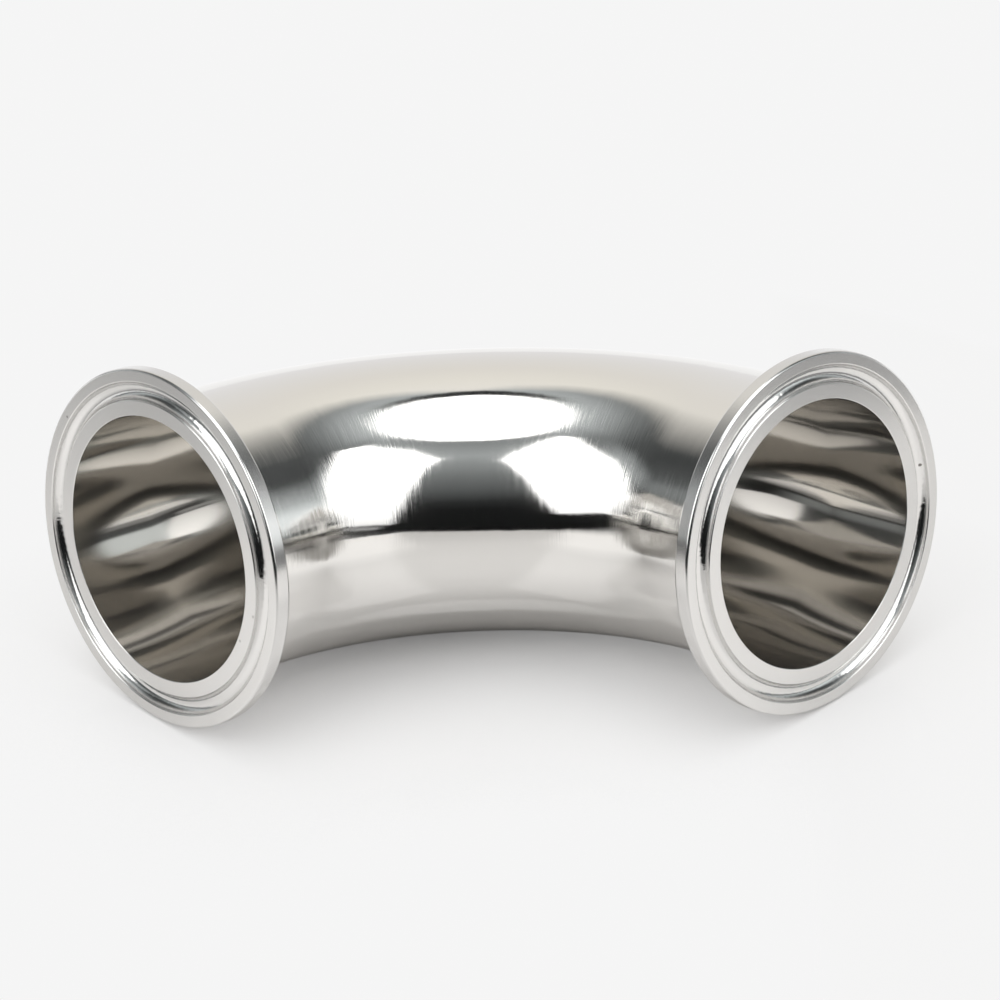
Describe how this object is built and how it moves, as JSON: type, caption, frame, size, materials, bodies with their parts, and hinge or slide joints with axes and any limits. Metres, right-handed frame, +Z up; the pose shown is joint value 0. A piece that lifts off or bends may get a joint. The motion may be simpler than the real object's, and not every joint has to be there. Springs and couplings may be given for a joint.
{
  "type": "ninety degree elbow",
  "caption": "Polished stainless ninety degree tube elbow whose two ports end in flat flanges with a gasket groove and a tapered back for a clamp ring.",
  "frame": {"origin": "on the table, in the middle of the resting elbow's footprint", "axes": "+X across the two ports, from the left to the right one; +Y towards the back of the bend; +Z up from the table on which the elbow lies, so the ports look up by 8.8 degrees"},
  "size_m": [0.1586, 0.0782, 0.0636],
  "materials": {
    "polished_stainless": "polished"
  },
  "bodies": {
    "root": {"elbow": "polished_stainless"}
  },
  "joints": []
}
